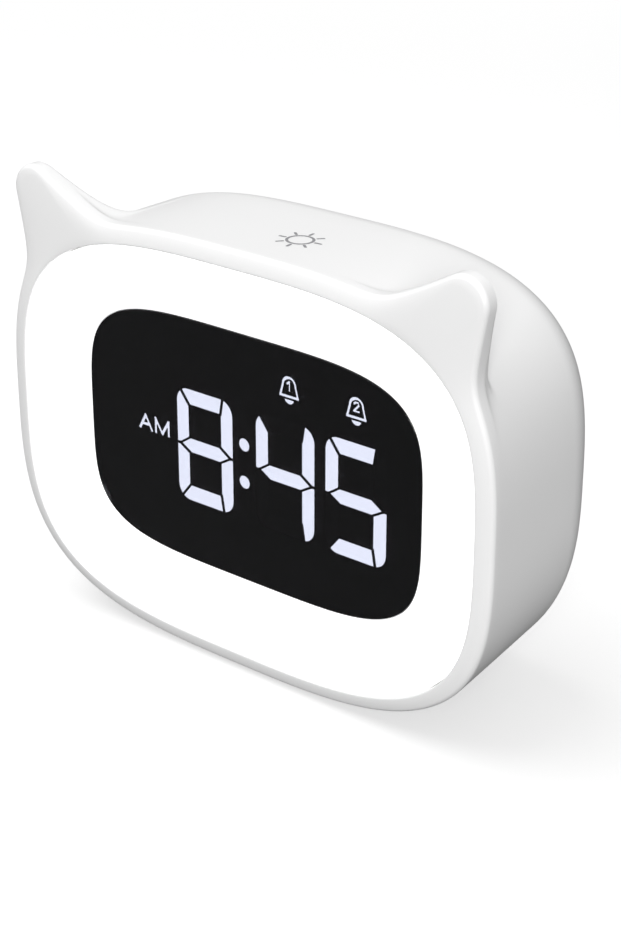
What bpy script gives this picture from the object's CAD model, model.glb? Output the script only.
import math

import bmesh
import bpy
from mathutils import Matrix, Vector


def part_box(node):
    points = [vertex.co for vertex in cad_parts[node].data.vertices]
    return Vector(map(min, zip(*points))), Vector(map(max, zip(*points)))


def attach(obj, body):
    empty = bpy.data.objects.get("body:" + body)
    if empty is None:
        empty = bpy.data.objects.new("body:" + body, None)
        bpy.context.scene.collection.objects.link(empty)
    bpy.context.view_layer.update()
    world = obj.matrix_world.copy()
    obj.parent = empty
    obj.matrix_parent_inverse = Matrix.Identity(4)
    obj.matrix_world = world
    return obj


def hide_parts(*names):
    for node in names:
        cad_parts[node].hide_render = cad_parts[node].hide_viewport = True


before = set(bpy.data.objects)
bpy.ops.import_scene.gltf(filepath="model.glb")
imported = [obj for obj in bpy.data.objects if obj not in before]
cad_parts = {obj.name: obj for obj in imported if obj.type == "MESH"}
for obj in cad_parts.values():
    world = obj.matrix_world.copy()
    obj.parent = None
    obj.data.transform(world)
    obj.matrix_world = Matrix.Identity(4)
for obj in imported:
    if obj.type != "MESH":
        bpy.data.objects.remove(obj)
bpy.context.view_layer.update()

# Front frame with two ears. One moulding in ABS, whose tongue slides into the shell and is drawn up
# by four screws from inside. Its band slopes gently away from the lit ring and turns over a small
# fillet into a flank. Sizes here are in mm about the frame's middle, depths from its front.
MM = 0.001
frame_half_width = 69.1
frame_half_height = 50.1
frame_exponent = 3.15
rear_half_width = 66.0
rear_top_height = 49.4
rear_top_exponent = 3.4
rear_bottom_height = 49.7
rear_bottom_exponent = 2.71
ear_tip = (59.6, 51.55)
ear_tip_radius = 5.95
ear_inner_slope = math.radians(29.5)
ear_outer_lean = math.radians(11.0)
ear_blends = (16.0, 34.0)
ear_blend_span = (42.0, 54.0)
ear_thickness = 2.2
ear_root_radius = 62.0
ear_root_rise = 22.0
ear_root_depth = 2.9
ear_root_sharpness = 60.0
ear_melt_rate = 12.0
band_drop = 0.6
band_straight_share = 0.4
fillet_radius = 1.3
fillet_start = math.radians(18.0)
parting_depth = 4.65
widest_depth = 2.05
flank_depths = (3.0, 3.6, 4.1, 4.4, parting_depth)
rim_return = 1.2
panel_outline = (64.6, 45.9, 3.3, -0.23)
panel_gap = 0.22
seam_round = 0.3
seam_depth = 2.6
outline_points = 720
crease_angle = math.radians(40)

front_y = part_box("front_frame")[0].y / MM
shell_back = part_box("main_shell")[1].y / MM - front_y
centre_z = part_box("front_frame")[0].z / MM + frame_half_height


def smooth_max(first, second, sharpness):
    larger = max(first, second)
    return larger * (1 + (min(first, second) / larger) ** sharpness) ** (1 / sharpness)


def smooth_min(first, second, sharpness):
    smaller = min(first, second)
    return smaller / (1 + (smaller / max(first, second)) ** sharpness) ** (1 / sharpness)


def between(first, second, share):
    return first + (second - first) * share


def oval_radius(angle, half_width, half_height, exponent):
    across = abs(math.sin(angle) / half_width) ** exponent
    return (across + abs(math.cos(angle) / half_height) ** exponent) ** (-1 / exponent)


def body_radius(angle, depth, inset):
    """Radius of the body without ears, measured from straight up, at a depth behind the front."""
    share = max(depth - widest_depth, 0) / (shell_back - widest_depth)
    half_width = between(frame_half_width, rear_half_width, share) - inset
    if math.cos(angle) >= 0:
        half_height = between(frame_half_height, rear_top_height, share) - inset
        exponent = between(frame_exponent, rear_top_exponent, share)
    else:
        half_height = between(frame_half_height, rear_bottom_height, share) - inset
        exponent = between(frame_exponent, rear_bottom_exponent, share)
    return oval_radius(angle, half_width, half_height, exponent)


def ear_radius(angle):
    """Radius of an ear's wedge: two straight flanks joined by a round tip."""
    side = math.atan2(abs(math.sin(angle)), math.cos(angle))
    flanks = ((-math.sin(ear_inner_slope), math.cos(ear_inner_slope)),
              (math.cos(ear_outer_lean), -math.sin(ear_outer_lean)))
    tangents = [math.atan2(ear_tip[0] + ear_tip_radius * x, ear_tip[1] + ear_tip_radius * z)
                for x, z in flanks]
    toward = (math.sin(side), math.cos(side))
    for flank, beyond in ((flanks[0], side < tangents[0]), (flanks[1], side > tangents[1])):
        if beyond:
            distance = flank[0] * ear_tip[0] + flank[1] * ear_tip[1] + ear_tip_radius
            return distance / (flank[0] * toward[0] + flank[1] * toward[1])
    along = toward[0] * ear_tip[0] + toward[1] * ear_tip[1]
    reach = ear_tip[0] ** 2 + ear_tip[1] ** 2
    return along + math.sqrt(ear_tip_radius ** 2 - reach + along ** 2)


def outline_radius(angle, depth):
    """Radius of the outside with its ears, which sink into the body behind the frame."""
    body = body_radius(angle, depth, 0.0)
    if math.cos(angle) <= 0:
        return body
    ear = ear_radius(angle)
    side = math.degrees(math.atan2(abs(math.sin(angle)), math.cos(angle)))
    share = (side - ear_blend_span[0]) / (ear_blend_span[1] - ear_blend_span[0])
    sharpness = between(*ear_blends, min(max(share, 0), 1))
    behind = depth - widest_depth - ear_thickness
    if behind > 0:
        root = ear_root_radius + ear_root_rise * math.exp(-behind / ear_root_depth)
        ear = smooth_min(ear, root, ear_root_sharpness)
        sharpness += ear_melt_rate * behind
    return smooth_max(body, ear, sharpness)


def even_angles(count):
    """Angles that divide the widest outline into equal lengths, starting at the top."""
    fine_count = 10 * count
    fine = [2 * math.pi * index / fine_count for index in range(fine_count + 1)]
    places = []
    for angle in fine:
        radius = outline_radius(angle, widest_depth)
        places.append((radius * math.sin(angle), radius * math.cos(angle)))
    lengths = [0.0]
    for first, second in zip(places, places[1:]):
        lengths.append(lengths[-1] + math.hypot(second[0] - first[0], second[1] - first[1]))
    chosen = []
    index = 0
    for number in range(count):
        wanted = lengths[-1] * number / count
        while lengths[index + 1] < wanted:
            index += 1
        share = (wanted - lengths[index]) / (lengths[index + 1] - lengths[index])
        chosen.append(between(fine[index], fine[index + 1], share))
    return chosen


ring_angles = even_angles(outline_points)


def ring(radius_at, drop=0.0):
    """Points (x, z) of a closed outline about the middle of the frame."""
    points = []
    for angle in ring_angles:
        radius = radius_at(angle)
        points.append((radius * math.sin(angle), radius * math.cos(angle) + drop))
    return points


def oval(outline, growth=0.0):
    """Ring of an outline given as half width, half height, exponent and drop, grown evenly."""
    half_width, half_height, exponent, drop = outline
    return ring(lambda a: oval_radius(a, half_width + growth, half_height + growth, exponent), drop)


def inward(points, distance):
    """The outline moved square to itself, towards its middle."""
    moved = []
    for index, (x, z) in enumerate(points):
        before = points[index - 1]
        after = points[(index + 1) % len(points)]
        along = (after[0] - before[0], after[1] - before[1])
        length = math.hypot(*along)
        moved.append((x + distance * along[1] / length, z - distance * along[0] / length))
    return moved


def between_outlines(first, second, share):
    return [(between(a[0], b[0], share), between(a[1], b[1], share))
            for a, b in zip(first, second)]


def quarter_turn(steps, first=0):
    """Sine and cosine at even steps of a quarter turn, for a rounded edge."""
    for step in range(first, steps + 1):
        turn = math.pi / 2 * step / steps
        yield math.sin(turn), math.cos(turn)


def ring_mesh(name, rings, close_front=False, close_back=False):
    """A smooth skin through (points, depth) rings from front to back, as one object."""
    vertices = []
    for points, depth in rings:
        vertices.extend(Vector((x, front_y + depth, centre_z + z)) * MM for x, z in points)
    count = len(ring_angles)
    faces = []
    for level in range(len(rings) - 1):
        for index in range(count):
            following = (index + 1) % count
            faces.append((level * count + index, level * count + following,
                          (level + 1) * count + following, (level + 1) * count + index))
    if close_front:
        faces.append(tuple(range(count))[::-1])
    if close_back:
        last = (len(rings) - 1) * count
        faces.append(tuple(last + index for index in range(count)))
    mesh = bpy.data.meshes.new(name)
    mesh.from_pydata([tuple(v) for v in vertices], [], faces)
    shaped = bmesh.new()
    shaped.from_mesh(mesh)
    bmesh.ops.recalc_face_normals(shaped, faces=shaped.faces)
    shaped.to_mesh(mesh)
    shaped.free()
    mesh.polygons.foreach_set("use_smooth", [True] * len(mesh.polygons))
    mesh.set_sharp_from_angle(angle=crease_angle)
    piece = bpy.data.objects.new(name, mesh)
    bpy.context.collection.objects.link(piece)
    return piece


def colour(code):
    """Linear opaque colour of an sRGB hex code."""
    channels = [int(code[place:place + 2], 16) / 255 for place in (0, 2, 4)]
    linear = [c / 12.92 if c <= 0.04045 else ((c + 0.055) / 1.055) ** 2.4 for c in channels]
    return (*linear, 1.0)


def node(tree, kind, settings=None, links=None):
    """Adds one node, sets its properties and sockets, and links what feeds it."""
    made = tree.nodes.new(kind)
    for key, value in (settings or {}).items():
        if isinstance(key, str) and hasattr(made, key):
            setattr(made, key, value)
        else:
            made.inputs[key].default_value = value
    for key, source in (links or {}).items():
        tree.links.new(source, made.inputs[key])
    return made


def surface(name, settings, bump=None):
    """A material with one Principled shader; bump is (grain size in mm, strength, depth in mm)."""
    material = bpy.data.materials.new(name)
    material.use_nodes = True
    tree = material.node_tree
    tree.nodes.clear()
    shader = node(tree, "ShaderNodeBsdfPrincipled", settings)
    node(tree, "ShaderNodeOutputMaterial", links={"Surface": shader.outputs[0]})
    if bump:
        grain, strength, relief = bump
        place = node(tree, "ShaderNodeTexCoord")
        noise = node(tree, "ShaderNodeTexNoise", {"Scale": 1 / (grain * MM), "Detail": 3.0},
                     {"Vector": place.outputs["Object"]})
        texture = node(tree, "ShaderNodeBump", {"Strength": strength, "Distance": relief * MM},
                       {"Height": noise.outputs["Fac"]})
        tree.links.new(texture.outputs["Normal"], shader.inputs["Normal"])
    return material


# ABS from a spark-textured tool has a soft satin sheen with a very fine grain
satin_abs = surface("satin white ABS moulding",
                    {"Base Color": colour("ECECEC"), "Roughness": 0.42, "IOR": 1.53,
                     "Specular IOR Level": 0.4}, bump=(0.35, 0.08, 0.02))


def finish_piece(piece, material, body, *nodes):
    """Gives a new piece its material and body, and the CAD nodes that it stands for."""
    piece.data.materials.append(material)
    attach(piece, body)
    if nodes:
        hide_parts(*nodes)
    return piece


def frame_rings():
    seam = oval(panel_outline, panel_gap)
    widest = ring(lambda a: outline_radius(a, widest_depth))
    fillet_edge = inward(widest, fillet_radius * (1 - math.sin(fillet_start)))
    rings = [(seam, seam_depth), (seam, seam_round)]
    for sine, cosine in quarter_turn(4, 1):
        rings.append((inward(seam, -seam_round * (1 - cosine)), seam_round * (1 - sine)))
    band_start = rings[-1][0]
    band_steps = 10
    for step in range(1, band_steps + 1):
        share = step / band_steps
        curved = (1 - band_straight_share) * share ** 2
        rings.append((between_outlines(band_start, fillet_edge, share),
                      band_drop * (band_straight_share * share + curved)))
    fillet_base = band_drop + fillet_radius * math.cos(fillet_start)
    fillet_steps = 10
    for step in range(1, fillet_steps + 1):
        turn = between(fillet_start, math.pi / 2, step / fillet_steps)
        rings.append((inward(widest, fillet_radius * (1 - math.sin(turn))),
                      fillet_base - fillet_radius * math.cos(turn)))
    for depth in flank_depths:
        rings.append((ring(lambda a: outline_radius(a, depth)), depth))
    rings.append((inward(rings[-1][0], rim_return), parting_depth))
    return rings


front_frame = ring_mesh("front_frame_moulding", frame_rings())
finish_piece(front_frame, satin_abs, "housing", "front_frame")


# Main shell. The same ABS, moulded in one deep piece that carries on the frame's flank without a
# visible step. The ears fade into it, and its back turns over a wide edge into a flat rim, with a
# ledge in its opening that the rear cover sits on.
shell_wall = 1.9
rear_edge_radius = 15.0
rear_opening = (47.2, 31.2, 3.3, 0.0)
opening_round = 0.25
ledge_depth = 1.1
ledge_width = 3.0
ear_fade_step = 0.35
ear_fade_steps = 26
plain_depths = (14.0, 15.5, 17.5, 20.0, 24.0, 29.0)
rim_shares = (0.35, 0.7, 0.93)


def shell_rings():
    rings = []
    fade_depths = [parting_depth + ear_fade_step * step for step in range(ear_fade_steps)]
    for depth in (*fade_depths, *plain_depths):
        rings.append((ring(lambda a: outline_radius(a, depth)), depth))
    edge_start = shell_back - rear_edge_radius
    for sine, cosine in quarter_turn(22):
        depth = edge_start + rear_edge_radius * sine
        inset = rear_edge_radius * (1 - cosine)
        rings.append((ring(lambda a: body_radius(a, depth, inset)), depth))
    flat_start = rings[-1][0]
    opening = oval(rear_opening)
    for share in rim_shares:
        rings.append((between_outlines(flat_start, opening, share), shell_back))
    for sine, cosine in quarter_turn(4):
        rings.append((inward(opening, opening_round * sine - opening_round),
                      shell_back - opening_round * (1 - cosine)))
    ledge = inward(opening, ledge_width)
    rings.append((opening, shell_back - ledge_depth))
    rings.append((ledge, shell_back - ledge_depth))
    rings.append((ledge, shell_back - shell_wall))
    return rings


main_shell = ring_mesh("main_shell_moulding", shell_rings())
finish_piece(main_shell, satin_abs, "housing", "main_shell")


# Lit ring. Opal polycarbonate, moulded as one shallow dish that falls from the frame to the window;
# it is clamped behind the frame's lip and glows evenly from a ring of lamps in the tray behind it.
lens_outline = (48.06, 29.8, 4.18, -0.28)
lens_depth = 5.1
dish_rim = 0.3
window_gap = 0.1
collar_round = 0.2
collar_length = 2.0


def diffuser_rings():
    outer = oval(panel_outline)
    rings = [(outer, seam_depth), (outer, dish_rim)]
    for sine, cosine in quarter_turn(4, 1):
        rings.append((inward(outer, dish_rim * (1 - cosine)), dish_rim * (1 - sine)))
    rim = rings[-1][0]
    hole = oval(lens_outline, window_gap + collar_round)
    dish_steps = 12
    for step in range(1, dish_steps + 1):
        share = step / dish_steps
        rings.append((between_outlines(rim, hole, share), lens_depth * share))
    for sine, cosine in quarter_turn(3, 1):
        rings.append((oval(lens_outline, window_gap + collar_round * (1 - sine)),
                      lens_depth + collar_round * (1 - cosine)))
    rings.append((oval(lens_outline, window_gap), lens_depth + collar_length))
    return rings


# Opal polycarbonate lit from behind reads as an even, almost shadeless white
opal = surface("lit opal polycarbonate",
               {"Base Color": colour("F4F4F4"), "Roughness": 0.38, "IOR": 1.58,
                "Emission Color": colour("FFFFFF"), "Emission Strength": 0.55})
light_diffuser = ring_mesh("light_diffuser_dish", diffuser_rings())
finish_piece(light_diffuser, opal, "housing", "light_diffuser")


# Window. A sheet of smoked acrylic with a polished face and a tiny worked edge, dropped into the
# dish from the front. It hides the works behind it and lets only the lit bars through.
lens_thickness = 1.9
lens_edge = 0.25
face_border = 2.0
face_margin = 0.02


def lens_rings():
    outline = oval(lens_outline)
    rings = [(inward(outline, face_border), lens_depth),
             (inward(outline, lens_edge + face_margin), lens_depth)]
    for sine, cosine in quarter_turn(4):
        rings.append((inward(outline, lens_edge * (1 - sine)), lens_depth + lens_edge * (1 - cosine)))
    rings.append((outline, lens_depth + lens_thickness))
    return rings


# Cast acrylic, tinted through and polished, is mirror-smooth and dark and passes only strong light
smoked_acrylic = surface("polished smoked acrylic",
                         {"Base Color": colour("47474B"), "Roughness": 0.02, "IOR": 1.49,
                          "Transmission Weight": 1.0})
display_lens = ring_mesh("display_window", lens_rings(), close_front=True, close_back=True)
finish_piece(display_lens, smoked_acrylic, "housing", "display_lens")


# Display. Behind the window lie a black printed film, a white reflector block and diffusing light
# bars; the bars of 8:45, AM and both bells are lit, the others stay dark. The tray round it and the
# connectors are the reflector's own white.
def finish_nodes(material, *names):
    """Gives CAD nodes that keep their shape their finished material."""
    for name in names:
        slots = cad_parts[name].data.materials
        slots.clear()
        slots.append(material)


def nodes_named(start):
    return [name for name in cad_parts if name.startswith(start)]


# A light bar glows a cool, faintly lavender white
lit_bar = surface("lit diffusing light bar",
                  {"Base Color": colour("E8E8F0"), "Roughness": 0.5,
                   "Emission Color": colour("E3E7ED"), "Emission Strength": 17.5})
# The same bar with its lamp off is a dull grey that the window hides
dark_bar = surface("unlit diffusing light bar", {"Base Color": colour("3A3A3E"), "Roughness": 0.5})
# Screen-printed film is a dead black that gives almost nothing back
black_film = surface("matte black printed film", {"Base Color": colour("0A0A0B"), "Roughness": 0.6})
# Moulded styrene is a plain matt white with a faint grain from the tool
white_styrene = surface("white styrene reflector",
                        {"Base Color": colour("E9E9E6"), "Roughness": 0.5}, bump=(0.5, 0.05, 0.02))
finish_nodes(lit_bar, "lit_digits", "lit_symbols")
finish_nodes(dark_bar, "unlit_segments")
finish_nodes(black_film, "display_mask")
finish_nodes(white_styrene, "display_reflector", "light_tray", "board_connectors",
             "display_connector")


# Circuit boards. Glass-epoxy laminate under a green lacquer, screwed to bosses, with moulded parts
# and lamps soldered on. A ribbon and sleeved leads join the boards, the speaker and the touch foil.

# Solder lacquer is dark green with a thin clear gloss, and the glass cloth shows faintly under it
board_lacquer = surface("green lacquered laminate",
                        {"Base Color": colour("1E5A34"), "Roughness": 0.35, "Coat Weight": 0.3},
                        bump=(0.8, 0.1, 0.02))
# Chips, switches and plungers are a filled black resin, dull with a fine grain
black_resin = surface("black moulded resin", {"Base Color": colour("17171A"), "Roughness": 0.45},
                      bump=(0.3, 0.1, 0.01))
# A white lamp's phosphor is pale yellow in daylight
lamp_package = surface("lamp package", {"Base Color": colour("F2E9B8"), "Roughness": 0.4})
# An extruded sleeve is an even, slightly soft red
lead_sleeve = surface("red PVC lead sleeve", {"Base Color": colour("9C1F1F"), "Roughness": 0.5})
# Laminated polyester is smooth and off-white
ribbon = surface("polyester ribbon film", {"Base Color": colour("DAD9D2"), "Roughness": 0.35})
# Rolled foil has a warm, evenly blurred shine
copper = surface("rolled copper foil",
                 {"Base Color": colour("C98A5E"), "Metallic": 1.0, "Roughness": 0.35})
finish_nodes(board_lacquer, "display_board", "main_board", "ring_light_board")
finish_nodes(black_resin, "controller_chip", "board_capacitors", "slide_switch_body",
             "tact_switches", "usb_tongue", *nodes_named("plunger_"))
finish_nodes(lamp_package, "display_leds", "ring_light_leds")
finish_nodes(lead_sleeve, "ring_light_leads", "touch_lead", "speaker_leads")
finish_nodes(ribbon, "display_ribbon")
finish_nodes(copper, "touch_electrode")


# Steel parts. Zinc-plated screws, the drawn shell of the charging socket, the coin cell with its
# spring contacts, the crystal's can and the speaker's basket.

# Bright zinc is a cool grey with blurred reflections
plated_steel = surface("zinc-plated steel",
                       {"Base Color": colour("C4C6C9"), "Metallic": 1.0, "Roughness": 0.32},
                       bump=(0.2, 0.05, 0.01))
finish_nodes(plated_steel, "cover_screws", "battery_door_screw", "frame_screws", "display_screws",
             "board_screws", "usb_socket", "coin_cell", "cell_contact_positive",
             "cell_contact_negative", "clock_crystal", "speaker_basket")


# Speaker. A cone of pressed paper before a ground ferrite magnet, in the steel basket that a ring
# of the rear cover holds behind the grille.

# Pressed pulp is near black, dull and fibrous
pressed_paper = surface("pressed paper cone", {"Base Color": colour("2A2826"), "Roughness": 0.8},
                        bump=(0.3, 0.3, 0.05))
# Ground ferrite is a dark grey with a slight sheen
ferrite = surface("ground ferrite", {"Base Color": colour("3B3B3D"), "Roughness": 0.55},
                  bump=(0.4, 0.2, 0.03))
finish_nodes(pressed_paper, "speaker_cone")
finish_nodes(ferrite, "speaker_magnet")


# Back. The cover, battery door and buttons are the shell's own ABS, and the switch knob is black
# resin. Each has a tiny radius on its edges from the tool.
moulded_edge = 0.12
edge_angle = math.radians(50)
weld_distance = 0.002
flat_tolerance = math.radians(0.5)
flat_weight = 95


def softened(name, material, body):
    """A copy of a CAD piece with its sharp edges rounded, which stands for it."""
    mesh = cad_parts[name].data.copy()
    mesh.materials.clear()
    piece = bpy.data.objects.new(name + "_moulded", mesh)
    bpy.context.collection.objects.link(piece)
    shaped = bmesh.new()
    shaped.from_mesh(mesh)
    bmesh.ops.remove_doubles(shaped, verts=shaped.verts, dist=weld_distance * MM)
    bmesh.ops.dissolve_limit(shaped, angle_limit=flat_tolerance, verts=shaped.verts,
                             edges=shaped.edges)
    shaped.to_mesh(mesh)
    shaped.free()
    mesh.polygons.foreach_set("use_smooth", [True] * len(mesh.polygons))
    bevel = piece.modifiers.new("edge radius", "BEVEL")
    bevel.width = moulded_edge * MM
    bevel.segments = 2
    bevel.limit_method = "ANGLE"
    bevel.angle_limit = edge_angle
    flattened = piece.modifiers.new("flat faces stay flat", "WEIGHTED_NORMAL")
    flattened.weight = flat_weight
    evaluated = piece.evaluated_get(bpy.context.evaluated_depsgraph_get())
    rounded = bpy.data.meshes.new_from_object(evaluated)
    piece.modifiers.clear()
    piece.data = rounded
    return finish_piece(piece, material, body, name)


for name in nodes_named("button_"):
    softened(name, satin_abs, name)
softened("alarm_switch_knob", black_resin, "alarm_switch")
softened("rear_cover", satin_abs, "housing")
softened("battery_door", satin_abs, "housing")


# Feet. Soft grey silicone discs set in pockets under the body, so that it doesn't slide.

# Moulded silicone is a soft matt grey that takes hardly any shine
silicone = surface("grey silicone rubber", {"Base Color": colour("B9B9BC"), "Roughness": 0.75},
                   bump=(0.4, 0.1, 0.02))
finish_nodes(silicone, *nodes_named("foot_"))


# Touch mark. A sun pad-printed in grey ink on the top: a thin ring with eight short rays, laid on
# the moulding as a skin a few hundredths of a millimetre thick.
mark_x = 6.9
mark_depth = 15.5
mark_rays = 8
mark_turn = math.radians(7.0)
ink_height = 0.03 * MM
mark_sizes = {"Ring radius": 2.92 * MM, "Line width": 0.66 * MM, "Ray middle": 4.5 * MM,
              "Ray length": 2.0 * MM, "Ink height": ink_height}


def sun_nodes(sizes):
    """Nodes that draw a ring and its rays flat, then drop every corner on the skin below it."""
    group = bpy.data.node_groups.new("printed sun", "GeometryNodeTree")
    for label, value in sizes.items():
        socket = group.interface.new_socket(label, in_out="INPUT", socket_type="NodeSocketFloat")
        socket.default_value = value
    for label, kind in (("Rays", "NodeSocketInt"), ("Turn", "NodeSocketFloat"),
                        ("Place", "NodeSocketVector"), ("Skin", "NodeSocketObject"),
                        ("Ink", "NodeSocketMaterial")):
        group.interface.new_socket(label, in_out="INPUT", socket_type=kind)
    group.interface.new_socket("Geometry", in_out="OUTPUT", socket_type="NodeSocketGeometry")
    given = node(group, "NodeGroupInput").outputs

    # The ring is a circle swept by a flat line as wide as the print
    circle = node(group, "GeometryNodeCurvePrimitiveCircle", {"Resolution": 96},
                  {"Radius": given["Ring radius"]})
    half_line = node(group, "ShaderNodeMath", {"operation": "MULTIPLY", 1: 0.5},
                     {0: given["Line width"]})
    minus_half = node(group, "ShaderNodeMath", {"operation": "MULTIPLY", 1: -0.5},
                      {0: given["Line width"]})
    line_start = node(group, "ShaderNodeCombineXYZ", links={"X": minus_half.outputs[0]})
    line_end = node(group, "ShaderNodeCombineXYZ", links={"X": half_line.outputs[0]})
    profile = node(group, "GeometryNodeCurvePrimitiveLine",
                   links={"Start": line_start.outputs[0], "End": line_end.outputs[0]})
    loop = node(group, "GeometryNodeCurveToMesh",
                links={"Curve": circle.outputs[0], "Profile Curve": profile.outputs[0]})

    # A ray is a dot whose two halves are pulled apart, so that its ends stay round
    dot = node(group, "GeometryNodeMeshCircle", {"Vertices": 24, "fill_type": "NGON"},
               {"Radius": half_line.outputs[0]})
    corner = node(group, "GeometryNodeInputPosition")
    parts = node(group, "ShaderNodeSeparateXYZ", links={0: corner.outputs[0]})
    side = node(group, "ShaderNodeMath", {"operation": "SIGN"}, {0: parts.outputs["X"]})
    straight = node(group, "ShaderNodeMath", {"operation": "SUBTRACT"},
                    {0: given["Ray length"], 1: given["Line width"]})
    stretch = node(group, "ShaderNodeMath", {"operation": "MULTIPLY"},
                   {0: side.outputs[0], 1: straight.outputs[0]})
    half_stretch = node(group, "ShaderNodeMath", {"operation": "MULTIPLY_ADD", 1: 0.5},
                        {0: stretch.outputs[0], 2: given["Ray middle"]})
    shift = node(group, "ShaderNodeCombineXYZ", links={"X": half_stretch.outputs[0]})
    ray = node(group, "GeometryNodeSetPosition",
               links={"Geometry": dot.outputs[0], "Offset": shift.outputs[0]})

    # The rays stand evenly round the ring, each turned about its middle
    points = node(group, "GeometryNodePoints", links={"Count": given["Rays"]})
    index = node(group, "GeometryNodeInputIndex")
    step = node(group, "ShaderNodeMath", {"operation": "DIVIDE", 0: 2 * math.pi},
                {1: given["Rays"]})
    angle = node(group, "ShaderNodeMath", {"operation": "MULTIPLY_ADD"},
                 {0: index.outputs[0], 1: step.outputs[0], 2: given["Turn"]})
    turn = node(group, "ShaderNodeCombineXYZ", links={"Z": angle.outputs[0]})
    rays = node(group, "GeometryNodeInstanceOnPoints",
                links={"Points": points.outputs[0], "Instance": ray.outputs[0],
                       "Rotation": turn.outputs[0]})
    real_rays = node(group, "GeometryNodeRealizeInstances", links={"Geometry": rays.outputs[0]})
    flat = node(group, "GeometryNodeJoinGeometry", links={"Geometry": loop.outputs[0]})
    group.links.new(real_rays.outputs[0], flat.inputs["Geometry"])

    # The flat print is held over the clock and dropped on its skin, an ink's thickness above it
    moved = node(group, "GeometryNodeTransform",
                 links={"Geometry": flat.outputs[0], "Translation": given["Place"]})
    skin = node(group, "GeometryNodeObjectInfo", links={"Object": given["Skin"]})
    under = node(group, "GeometryNodeRaycast",
                 {"Ray Direction": (0.0, 0.0, -1.0), "Ray Length": 1.0},
                 {"Target Geometry": skin.outputs["Geometry"]})
    ink = node(group, "ShaderNodeCombineXYZ", links={"Z": given["Ink height"]})
    laid = node(group, "GeometryNodeSetPosition",
                links={"Geometry": moved.outputs[0], "Position": under.outputs["Hit Position"],
                       "Offset": ink.outputs[0]})
    whole = node(group, "GeometryNodeRealizeInstances", links={"Geometry": laid.outputs[0]})
    inked = node(group, "GeometryNodeSetMaterial",
                 links={"Geometry": whole.outputs[0], "Material": given["Ink"]})
    node(group, "NodeGroupOutput", links={"Geometry": inked.outputs[0]})
    return group


def made_by_nodes(name, group, values):
    """A plain mesh object from a node group, its inputs set by their identifiers first."""
    piece = bpy.data.objects.new(name, bpy.data.meshes.new(name))
    bpy.context.collection.objects.link(piece)
    modifier = piece.modifiers.new(name, "NODES")
    modifier.node_group = group
    for socket in group.interface.items_tree:
        if socket.name in values:
            modifier[socket.identifier] = values[socket.name]
    evaluated = piece.evaluated_get(bpy.context.evaluated_depsgraph_get())
    mesh = bpy.data.meshes.new_from_object(evaluated)
    piece.modifiers.clear()
    piece.data = mesh
    return piece


# Pad-printing ink lies flat and matt on the white moulding
grey_ink = surface("grey pad-printing ink", {"Base Color": colour("8C8C8F"), "Roughness": 0.5})
mark_place = Vector((mark_x, front_y + mark_depth, centre_z + 2 * frame_half_height)) * MM
touch_mark = made_by_nodes("touch_mark", sun_nodes(mark_sizes),
                           {**mark_sizes, "Rays": mark_rays, "Turn": mark_turn,
                            "Place": mark_place, "Skin": main_shell, "Ink": grey_ink})
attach(touch_mark, "housing")


# Labels on the back. Small plain words and signs above the buttons, pad-printed on the cover in the
# same ink, to be read from behind.
label_height = 2.6
label_gap = 1.3
label_words = {"button_set": "SET", "button_alarm_1": "1", "button_alarm_2": "2",
               "button_minus": "-", "button_plus": "+"}


def printed_word(name, word, x, z):
    """A word as a thin flat skin on the back cover, turned to face backwards."""
    text = bpy.data.curves.new(name, "FONT")
    text.body = word
    text.size = label_height * MM
    text.align_x = "CENTER"
    holder = bpy.data.objects.new(name, text)
    bpy.context.collection.objects.link(holder)
    evaluated = holder.evaluated_get(bpy.context.evaluated_depsgraph_get())
    mesh = bpy.data.meshes.new_from_object(evaluated)
    bpy.data.objects.remove(holder)
    for vertex in mesh.vertices:
        across, up = vertex.co.x, vertex.co.y
        vertex.co = (x - across, (front_y + shell_back) * MM + ink_height, z + up)
    mesh.materials.clear()
    piece = bpy.data.objects.new(name, mesh)
    bpy.context.collection.objects.link(piece)
    return finish_piece(piece, grey_ink, "housing")


for name, word in label_words.items():
    low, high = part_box(name)
    middle = (low + high) / 2
    printed_word(name.replace("button_", "label_"), word, middle.x, high.z + label_gap * MM)


# Stage. A white seamless floor with a soft contact shadow, a soft key light from the right of the
# front, a wide softbox above the left and a low, even surround. Sizes here are in metres.
floor_reach = 4.0
fade_start = 0.3
fade_end = 0.8
light_target = Vector((0, 0, 0.05))


def seen_directly(tree):
    """1 for a ray from the camera or through glass, 0 for all others.

    Mirrored rays are among the others, so steel and the polished window reflect a darker surround
    than the picture shows. That keeps the window near black.
    """
    path = node(tree, "ShaderNodeLightPath")
    seen = node(tree, "ShaderNodeMath", {"operation": "MAXIMUM"},
                {0: path.outputs["Is Camera Ray"], 1: path.outputs["Is Transmission Ray"]})
    return seen.outputs[0]


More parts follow.
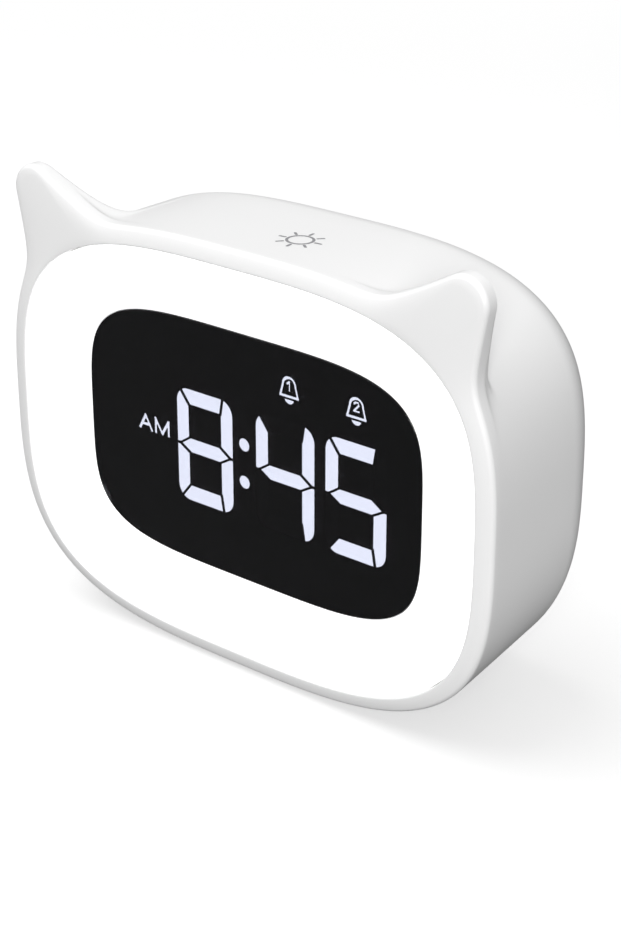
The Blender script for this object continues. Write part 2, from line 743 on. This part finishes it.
def studio_floor():
    """A floor that looks white with a soft shadow, and that throws back only a little light."""
    material = bpy.data.materials.new("pale studio floor")
    material.use_nodes = True
    tree = material.node_tree
    tree.nodes.clear()
    shade = node(tree, "ShaderNodeBsdfDiffuse", {"Color": colour("BEBEBE")})
    lift = node(tree, "ShaderNodeEmission", {"Color": colour("FFFFFF"), "Strength": 0.52})
    bounce = node(tree, "ShaderNodeBsdfDiffuse", {"Color": colour("5A5A5A")})
    near_floor = node(tree, "ShaderNodeAddShader", links={0: shade.outputs[0], 1: lift.outputs[0]})
    far_floor = node(tree, "ShaderNodeEmission", {"Color": colour("FFFFFF"), "Strength": 1.0})
    place = node(tree, "ShaderNodeTexCoord")
    away = node(tree, "ShaderNodeVectorMath", {"operation": "LENGTH"},
                {0: place.outputs["Object"]})
    share = node(tree, "ShaderNodeMapRange",
                 {"interpolation_type": "SMOOTHSTEP", "From Min": fade_start, "From Max": fade_end},
                 {"Value": away.outputs["Value"]})
    seen_floor = node(tree, "ShaderNodeMixShader",
                      links={0: share.outputs[0], 1: near_floor.outputs[0],
                             2: far_floor.outputs[0]})
    mixed = node(tree, "ShaderNodeMixShader",
                 links={0: seen_directly(tree), 1: bounce.outputs[0], 2: seen_floor.outputs[0]})
    node(tree, "ShaderNodeOutputMaterial", links={"Surface": mixed.outputs[0]})
    return material


floor_mesh = bpy.data.meshes.new("floor")
floor_mesh.from_pydata([(-floor_reach, -floor_reach, 0), (floor_reach, -floor_reach, 0),
                        (floor_reach, floor_reach, 0), (-floor_reach, floor_reach, 0)],
                       [], [(0, 1, 2, 3)])
floor_mesh.materials.append(studio_floor())
floor = bpy.data.objects.new("floor", floor_mesh)
bpy.context.collection.objects.link(floor)


def area_light(name, place, size, power):
    """A round soft light, aimed at the clock's lower half."""
    lamp = bpy.data.lights.new(name, "AREA")
    lamp.shape = "DISK"
    lamp.size = size
    lamp.energy = power
    holder = bpy.data.objects.new(name, lamp)
    holder.location = place
    holder.rotation_euler = (light_target - Vector(place)).to_track_quat("-Z", "Y").to_euler()
    bpy.context.collection.objects.link(holder)


area_light("front key", (1.1, -1.4, 0.75), size=0.9, power=29.5)
area_light("overhead softbox", (-0.55, -0.25, 1.25), size=1.4, power=11.8)

world = bpy.data.worlds.new("surround")
bpy.context.scene.world = world
world.use_nodes = True
sky = world.node_tree
sky.nodes.clear()
plain = node(sky, "ShaderNodeBackground", {"Color": colour("FFFFFF"), "Strength": 0.4})
white = node(sky, "ShaderNodeBackground", {"Color": colour("FFFFFF"), "Strength": 1.0})
mixed = node(sky, "ShaderNodeMixShader",
             links={0: seen_directly(sky), 1: plain.outputs[0], 2: white.outputs[0]})
node(sky, "ShaderNodeOutputWorld", links={"Surface": mixed.outputs[0]})


# Camera. The photograph's own viewpoint, right of the front and looking down on the clock, as it
# was solved from the outline: its place in mm, and its focal length in the photograph's pixels.
camera_place = Vector((273.68, -331.07, 237.15))
camera_azimuth = math.radians(39.37)
camera_elevation = math.radians(24.35)
focal_pixels = 2050.0
photo_width = 621.0
sensor_width = 36.0
camera_data = bpy.data.cameras.new("camera")
camera_data.sensor_fit = "HORIZONTAL"
camera_data.sensor_width = sensor_width
camera_data.lens = focal_pixels / photo_width * sensor_width
camera = bpy.data.objects.new("camera", camera_data)
camera.location = camera_place * MM
looking = Vector((-math.sin(camera_azimuth) * math.cos(camera_elevation),
                  math.cos(camera_azimuth) * math.cos(camera_elevation),
                  -math.sin(camera_elevation)))
camera.rotation_euler = looking.to_track_quat("-Z", "Y").to_euler()
bpy.context.collection.objects.link(camera)
bpy.context.scene.camera = camera
bpy.context.scene.view_settings.view_transform = "Standard"
